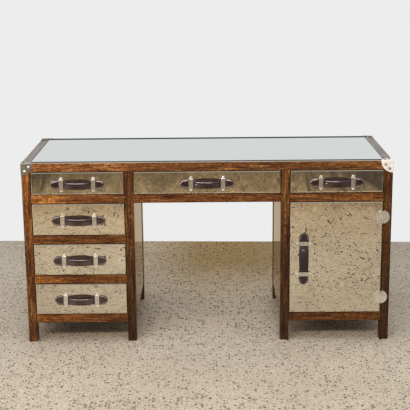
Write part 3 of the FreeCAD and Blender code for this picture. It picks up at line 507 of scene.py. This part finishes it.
class Handle:
    """Shape of a leather handle about its middle on the face: x along, z across, and out from the face along -y."""

    def __init__(self):
        sine = 2 * GRIP_GAP * BEND_START / (BEND_START ** 2 + GRIP_GAP ** 2)
        self.bend = math.asin(sine)
        self.bow_radius = BEND_START / sine - ROOT_RADIUS
        self.bow_run = self.bow_radius * self.bend
        self.root_run = ROOT_RADIUS * self.bend
        self.flat_run = STRAP_LENGTH / 2 - BEND_START
        self.half_run = self.bow_run + self.root_run + self.flat_run

    def back_line(self, run):
        """Point (x, out) and slope angle of the strap's back, at a distance along it from the middle."""
        side = math.copysign(1, run)
        run = abs(run)
        if run <= self.bow_run:
            angle = run / self.bow_radius
            out = GRIP_GAP - self.bow_radius * (1 - math.cos(angle))
            return side * self.bow_radius * math.sin(angle), out, side * angle
        run -= self.bow_run
        if run <= self.root_run:
            angle = self.bend - run / ROOT_RADIUS
            out = ROOT_RADIUS * (1 - math.cos(angle))
            return side * (BEND_START - ROOT_RADIUS * math.sin(angle)), out, side * angle
        return side * (BEND_START + run - self.root_run), 0.0, 0.0

    def grip_part(self, x):
        """1 along the padded grip, 0 at the loops and tabs."""
        return 1 - smooth_step(abs(x), PAD_LENGTH / 2 + GRIP_FADE[0], PAD_LENGTH / 2 + GRIP_FADE[1])

    def seam_inset(self, x):
        """Distance of the seam from the strap's edge."""
        return STITCH_INSET + (GRIP_INSET - STITCH_INSET) * self.grip_part(x)

    def half_width(self, x):
        """Half the strap's width at x: parallel sides, drawn in along the grip, then an ogive tab with a round tip."""
        half = STRAP_WIDTH / 2
        tab_reach = math.sqrt(2 * TAB_RADIUS * half - half ** 2)
        past = abs(x) - (STRAP_LENGTH / 2 - tab_reach)
        if past <= 0:
            return half - GRIP_NARROWING * self.grip_part(x)
        tip = math.sqrt((TAB_RADIUS - TIP_ROUND) ** 2 - (TAB_RADIUS - half) ** 2)
        if past <= tip * TAB_RADIUS / (TAB_RADIUS - TIP_ROUND):
            return math.sqrt(TAB_RADIUS ** 2 - past ** 2) - (TAB_RADIUS - half)
        return math.sqrt(max(TIP_ROUND ** 2 - (past - tip) ** 2, 0.0))

    def front(self, run, across, half):
        """Height of the leather's front above its back: rounded edges, a stitch groove, and swollen tabs or the pad."""
        x = abs(self.back_line(run)[0])
        edge = max(half - abs(across), 0.0)
        rounding = math.sqrt(smooth_step(edge, -0.2 * MM, EDGE_ROUND))
        height = STRAP_THICKNESS * (THINNEST_EDGE + (1 - THINNEST_EDGE) * rounding)
        height -= GROOVE_DEPTH * math.exp(-((edge - self.seam_inset(x)) / GROOVE_WIDTH) ** 2)
        if x < BEND_START:
            fade = math.sqrt(1 - smooth_step(abs(run), PAD_LENGTH / 2 + PAD_FADE[0], PAD_LENGTH / 2 + PAD_FADE[1]))
            return height + PAD_HEIGHT * fade * self.crown(run, across)
        fade = smooth_step(x, BEND_START + 19 * MM, BEND_START + 24 * MM)
        inner = smooth_step(edge, STITCH_INSET + 0.6 * MM, STITCH_INSET + 6 * MM)
        return height + TAB_SWELL * fade * inner

    def crown(self, run, across):
        """Part of the pad's height: rounded at both sides, and sloping up to a soft ridge on the upper half."""
        waist = PAD_WIDTH / 2 + PAD_FLARE
        inside = min(max(waist - abs(across), 0.0) / PAD_EDGE, 1.0)
        crown = math.sqrt(1 - (1 - inside) ** 2)
        if across > 0:
            middle_part = 1 - min(2 * abs(run) / PAD_LENGTH, 1.0) ** 2
            slope = RIDGE_DROP[0] + (RIDGE_DROP[1] - RIDGE_DROP[0]) * middle_part
            above = (across - waist) / slope + 1
            crown = min(crown, max(1 - (math.hypot(above, RIDGE_ROUND / slope) + above) / 2, 0.0))
        return crown

    def point(self, run, across, height):
        """Place of a point of the leather at a height over its back."""
        x, out, slope = self.back_line(run)
        return Vector((x + math.sin(slope) * height, -(out + math.cos(slope) * height), across))

    def mesh(self, name):
        """Closed leather strap: rows across its front and back at stations along it, closer together at the tips."""
        shape = bmesh.new()
        rows = []
        for station in range(STRAP_STATIONS + 1):
            part = 2 * station / STRAP_STATIONS - 1
            run = self.half_run * (0.55 * math.sin(part * math.pi / 2) + 0.45 * part)
            half = max(self.half_width(self.back_line(run)[0]), SMALLEST_HALF_WIDTH)
            row = []
            for side in (1, -1):
                for column in range(STRAP_COLUMNS):
                    turn = math.pi * column / STRAP_COLUMNS
                    across = -side * half * math.cos(turn)
                    height = 0.0
                    if side > 0:
                        height = self.front(run, across, half)
                        crease = noise.noise(Vector((run * 260, across * 70, 3.0))) * CREASE_HEIGHT
                        height += crease * smooth_step(height, 3 * MM, 6 * MM)
                    elif column == 0:
                        height = 0.3 * STRAP_THICKNESS
                    row.append(shape.verts.new(self.point(run, across, height)))
            rows.append(row)
        for one, other in zip(rows, rows[1:]):
            for place in range(len(one)):
                after = (place + 1) % len(one)
                shape.faces.new((one[place], one[after], other[after], other[place]))
        shape.faces.new(reversed(rows[0]))
        shape.faces.new(rows[-1])
        return finish_mesh(shape, name)

    def stitch_line(self):
        """Points (run, across) of the seam that goes round the strap, a stitch apart."""
        seam = []
        for step in range(SEAM_STEPS + 1):
            run = self.half_run * (2 * step / SEAM_STEPS - 1)
            x = self.back_line(run)[0]
            half = self.half_width(x)
            if half > STITCH_INSET + 1.5 * MM:
                seam.append((run, half - self.seam_inset(x)))
        path = [seam[0]]
        for run, across in seam[1:]:
            if math.hypot(run - path[-1][0], across - path[-1][1]) >= STITCH_PITCH:
                path.append((run, across))
        return path

    def stitches(self, name):
        """The seam's stitches: short threads laid in the groove, each a little capsule that dips at its ends."""
        shape = bmesh.new()
        path = self.stitch_line()
        for side in (1, -1):
            for start, end in zip(path, path[1:]):
                middle_x = abs(self.back_line((start[0] + end[0]) / 2)[0])
                if not BEND_START - SEAM_BEFORE_LOOP < middle_x < BEND_START + LOOP_WIDTH + SEAM_PAST_LOOP:
                    self.stitch(shape, start, end, side)
        self.cross_seams(shape)
        return finish_mesh(shape, name)

    def cross_seams(self, shape):
        """Rows of stitches across the strap, on both sides of each loop."""
        before = self.bow_run + self.root_run - SEAM_BEFORE_LOOP
        beyond = self.bow_run + self.root_run + LOOP_WIDTH + SEAM_PAST_LOOP
        reach = STRAP_WIDTH / 2 - STITCH_INSET
        count = round(2 * reach / STITCH_PITCH)
        for run in (before, beyond):
            for place in range(count):
                low = reach * (2 * place / count - 1)
                high = reach * (2 * (place + 1) / count - 1)
                for end in (1, -1):
                    self.stitch(shape, (end * run, low), (end * run, high), 1)

    def stitch(self, shape, start, end, side):
        """Adds one stitch between two points (run, across) of the seam, on the upper or the lower side."""
        rings = []
        spare = (1 - STITCH_LENGTH / STITCH_PITCH) / 2
        for place in range(STITCH_RINGS):
            part = spare + (1 - 2 * spare) * place / (STITCH_RINGS - 1)
            run = start[0] + (end[0] - start[0]) * part
            across = start[1] + (end[1] - start[1]) * part
            half = self.half_width(self.back_line(run)[0])
            swell = math.sin(math.pi * (0.12 + 0.76 * place / (STITCH_RINGS - 1)))
            height = self.front(run, across, half) + STITCH_RADIUS * (swell - 0.35)
            ring = []
            for spoke in range(STITCH_SPOKES):
                turn = math.tau * spoke / STITCH_SPOKES
                radius = STITCH_RADIUS * swell
                spot = self.point(run, side * across + radius * math.cos(turn), height + radius * math.sin(turn))
                ring.append(shape.verts.new(spot))
            rings.append(ring)
        for one, other in zip(rings, rings[1:]):
            for spoke in range(STITCH_SPOKES):
                after = (spoke + 1) % STITCH_SPOKES
                shape.faces.new((one[spoke], one[after], other[after], other[spoke]))
        shape.faces.new(reversed(rings[0]))
        shape.faces.new(rings[-1])


def finish_mesh(shape, name):
    """Turns a finished shape into a smooth mesh."""
    bmesh.ops.recalc_face_normals(shape, faces=shape.faces)
    for face in shape.faces:
        face.smooth = True
    mesh = bpy.data.meshes.new(name)
    shape.to_mesh(mesh)
    shape.free()
    return mesh


def add_piece(name, mesh, place, material):
    """Adds a copy of a mesh as a piece with one material."""
    piece = bpy.data.objects.new(name, mesh.copy())
    bpy.context.scene.collection.objects.link(piece)
    piece.matrix_world = place
    piece.data.materials.append(material)
    return piece


def add_handles():
    """Leather and stitches of each handle, in place of the plain strap solid."""
    shape = Handle()
    strap = shape.mesh("handle_leather")
    seam = shape.stitches("handle_seam")
    hide = leather("handle_leather", DRAWER_POLISH, DRAWER_DUST_AND_SHEEN)
    dull_hide = leather("door_handle_leather", DOOR_POLISH, DOOR_DUST_AND_SHEEN)
    yarn = thread("handle_thread")
    for body in FRONTS:
        low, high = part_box(f"{body}_strap")
        middle = (low + high) / 2
        turn = Matrix.Rotation(math.radians(90), 4, "Y") if body == "door" else Matrix()
        place = Matrix.Translation((middle.x, FRONT_Y, middle.z)) @ turn
        grip = add_piece(f"{body}_grip", strap, place, dull_hide if body == "door" else hide)
        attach(grip, body)
        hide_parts(f"{body}_strap")
        stitches = add_piece(f"{body}_stitches", seam, place, yarn)
        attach(stitches, body)


def add_materials():
    """Materials of the CAD nodes, and the eased edges of the wood."""
    top_rails = ("top_front_rail", "top_rear_rail")
    cross_rails = ("front_rails", "rear_rails")
    upright_boards = ("side_boards", "back_panels", "door_board")
    boxes = [f"drawer_{name}_box" for name in DRAWERS]
    paint(wood("post_wood", UP, RED_WOOD, height_shade=POST_HEIGHT_SHADE, side_light=POST_SIDE_LIGHT), "front_posts")
    paint(wood("rear_post_wood", UP, RED_WOOD, coat=1.0, height_shade=POST_HEIGHT_SHADE, side_light=POST_SIDE_LIGHT), "rear_posts")
    paint(wood("rail_wood", ACROSS, RED_WOOD, height_shade=RAIL_HEIGHT_SHADE, side_light=RAIL_SIDE_LIGHT), *cross_rails)
    paint(wood("top_rail_wood", ACROSS, RED_WOOD, height_shade=RAIL_HEIGHT_SHADE, side_light=RAIL_SIDE_LIGHT, rim=True), *top_rails)
    paint(wood("side_rail_wood", DEEP, GREY_WOOD, gloss=0.30, coat=0.4), "top_side_rails")
    paint(wood("upright_board_wood", UP, BOARD_WOOD, gloss=0.5, coat=0.0), *upright_boards)
    paint(wood("level_board_wood", ACROSS, BOARD_WOOD, gloss=0.5, coat=0.0), "top_board", "pedestal_floors")
    paint(wood("drawer_wood", ACROSS, BOX_WOOD, gloss=0.55, coat=0.0), *boxes)
    paint(wood("runner_wood", DEEP, BOX_WOOD, gloss=0.55, coat=0.0), "drawer_runners", "drawer_stops")
    ease_edges(1.0 * MM, *cross_rails, *top_rails, "top_side_rails", *upright_boards, *boxes)

    panes = [f"{front}_mirror" for front in FRONTS]
    paint(mirror("upper_mirror", UPPER_GLASS, 2.2 * MM), *panes[:TOP_DRAWERS])
    paint(mirror("lower_mirror", LOWER_GLASS, 0.7 * MM), *panes[TOP_DRAWERS:])
    paint(mirror("side_mirror", SIDE_GLASS, 0.3 * MM, graze=SIDE_GLASS_GRAZED), "side_mirrors")
    paint(mirror("top_mirror", TOP_GLASS, 0.02 * MM, graze=TOP_GLASS_GRAZED, even=0.97), "top_mirror")

    nickel = metal("nickel", NICKEL, 0.24)
    # Corner plates darker on the left and pale at the front right, corner nails brighter on the left: painted
    # reflection and highlight
    plate = metal("corner_nickel", (0.95, 0.92, 0.89), 0.30, graze=GREY_NICKEL, left=(0.46, 0.435, 0.395),
                  rear=(0.50, 0.47, 0.44), highlight_coat=(0.0, 0.75))
    corner_nail = metal("corner_nail_nickel", (0.46, 0.40, 0.36), 0.34, graze=GREY_NICKEL, left=(0.90, 0.86, 0.78),
                        rear=(0.55, 0.52, 0.48))
    # The handles' nails have a pale front, a painted highlight
    handle_nail = metal("nail_nickel", BRIGHT_NICKEL, 0.26, highlight_coat=(0.45, 0.45))
    paint(plate, "corner_brackets")
    paint(corner_nail, "corner_nails")
    paint(nickel, "hinge_pins", *[f"{front}_loops" for front in FRONTS])
    paint(metal("pale_nickel", PALE_NICKEL, 0.36), "hinge_post_leaves", "door_hinge_leaves")
    paint(handle_nail, *[f"{front}_nails" for front in FRONTS])
    paint(metal("catch_steel", STEEL, 0.34), "door_catch", "door_strike")


def add_floor():
    """A slab of concrete that ends at the line of the wall, which isn't quite square to the desk."""
    mesh = bpy.data.meshes.new("floor")
    back = FRONT_Y + WALL_DISTANCE
    lean = FLOOR_REACH * math.tan(WALL_TURN)
    corners = [(-FLOOR_REACH, -FLOOR_REACH, 0), (FLOOR_REACH, -FLOOR_REACH, 0),
               (FLOOR_REACH, back - lean, 0), (-FLOOR_REACH, back + lean, 0)]
    mesh.from_pydata(corners, [], [(0, 1, 2, 3)])
    floor = bpy.data.objects.new("floor", mesh)
    bpy.context.scene.collection.objects.link(floor)
    mesh.materials.append(concrete("concrete"))


def add_world():
    """White surroundings for the camera. Reflections see a white wall behind, beige low down with painted shade from
    the desk, and a room in low light with windows in front, bright ones high up."""
    world = bpy.data.worlds.new("studio")
    bpy.context.scene.world = world
    world.use_nodes = True
    tree = world.node_tree
    tree.nodes.clear()

    def add(kind, **inputs):
        node = tree.nodes.new(f"ShaderNode{kind}")
        for name, value in inputs.items():
            socket = node.inputs[int(name[1:]) if name[0] == "_" else name]
            if isinstance(value, bpy.types.NodeSocket):
                tree.links.new(value, socket)
            else:
                socket.default_value = value
        return node

    def backdrop(colour, strength=1.0):
        return add("Background", Color=(*colour, 1), Strength=strength).outputs[0]

    def span(value, low, high):
        node = add("MapRange", Value=value)
        node.inputs["From Min"].default_value = low
        node.inputs["From Max"].default_value = high
        return node.outputs[0]

    def pick(operation, one, other):
        node = add("Math", _0=one, _1=other)
        node.operation = operation
        return node.outputs[0]

    def blend(part, one, other):
        return add("MixShader", _0=part, _1=one, _2=other).outputs[0]

    white = backdrop((0.84, 0.845, 0.845))
    way = add("SeparateXYZ", Vector=add("TexCoord").outputs["Generated"]).outputs
    windows = pick("MINIMUM", span(way["Z"], 0.02, 0.10), span(way["Z"], 0.48, 0.36))
    front = blend(windows, backdrop((0.24, 0.23, 0.21)), backdrop((0.50, 0.485, 0.46)))
    high_windows = pick("MINIMUM", span(way["Z"], 0.40, 0.46), span(way["Z"], 0.70, 0.64))
    front = blend(high_windows, front, backdrop((1.0, 0.97, 0.93)))
    # Painted shade of the desk on the lower wall behind, seen in reflections
    behind = blend(span(way["Z"], -0.02, -0.08), white, backdrop((0.61, 0.535, 0.43)))
    room = blend(span(way["Y"], 0.10, 0.35), front, behind)
    light = backdrop((1.0, 0.985, 0.96), 0.47)
    path = add("LightPath").outputs
    seen = pick("MAXIMUM", path["Is Camera Ray"], path["Is Transmission Ray"])
    shown = blend(path["Is Glossy Ray"], light, room)
    tree.links.new(blend(seen, shown, white), add("OutputWorld").inputs["Surface"])


def add_lamp(name, spot, aim, size, power, colour):
    """A rectangular lamp that the camera doesn't see."""
    lamp = bpy.data.lights.new(name, "AREA")
    lamp.shape = "RECTANGLE"
    lamp.size, lamp.size_y = size
    lamp.energy = power
    lamp.color = colour
    holder = bpy.data.objects.new(name, lamp)
    bpy.context.scene.collection.objects.link(holder)
    holder.location = spot
    holder.rotation_mode = "QUATERNION"
    holder.rotation_quaternion = (Vector(aim) - Vector(spot)).to_track_quat("-Z", "Y")
    holder.visible_camera = False
    return holder


def add_camera():
    """Camera from its fitted place, pitch, yaw and roll."""
    forward = Vector((
        math.sin(CAMERA_YAW) * math.cos(CAMERA_PITCH),
        math.cos(CAMERA_YAW) * math.cos(CAMERA_PITCH),
        -math.sin(CAMERA_PITCH),
    ))
    level = forward.cross(Vector((0, 0, 1))).normalized()
    upward = level.cross(forward)
    right = level * math.cos(CAMERA_ROLL) + upward * math.sin(CAMERA_ROLL)
    above = right.cross(forward)
    data = bpy.data.cameras.new("camera")
    data.lens = CAMERA_LENS
    data.sensor_width = SENSOR_WIDTH
    camera = bpy.data.objects.new("camera", data)
    bpy.context.scene.collection.objects.link(camera)
    turn = Matrix((right, above, -forward)).transposed()
    camera.matrix_world = Matrix.Translation(CAMERA_SPOT) @ turn.to_4x4()
    bpy.context.scene.camera = camera


add_materials()
add_handles()
add_floor()
add_world()
add_lamp("key", **KEY_LIGHT)
overhead = add_lamp("overhead", **OVERHEAD_LIGHT)
overhead.visible_glossy = False
add_camera()
bpy.context.scene.view_settings.view_transform = "Standard"
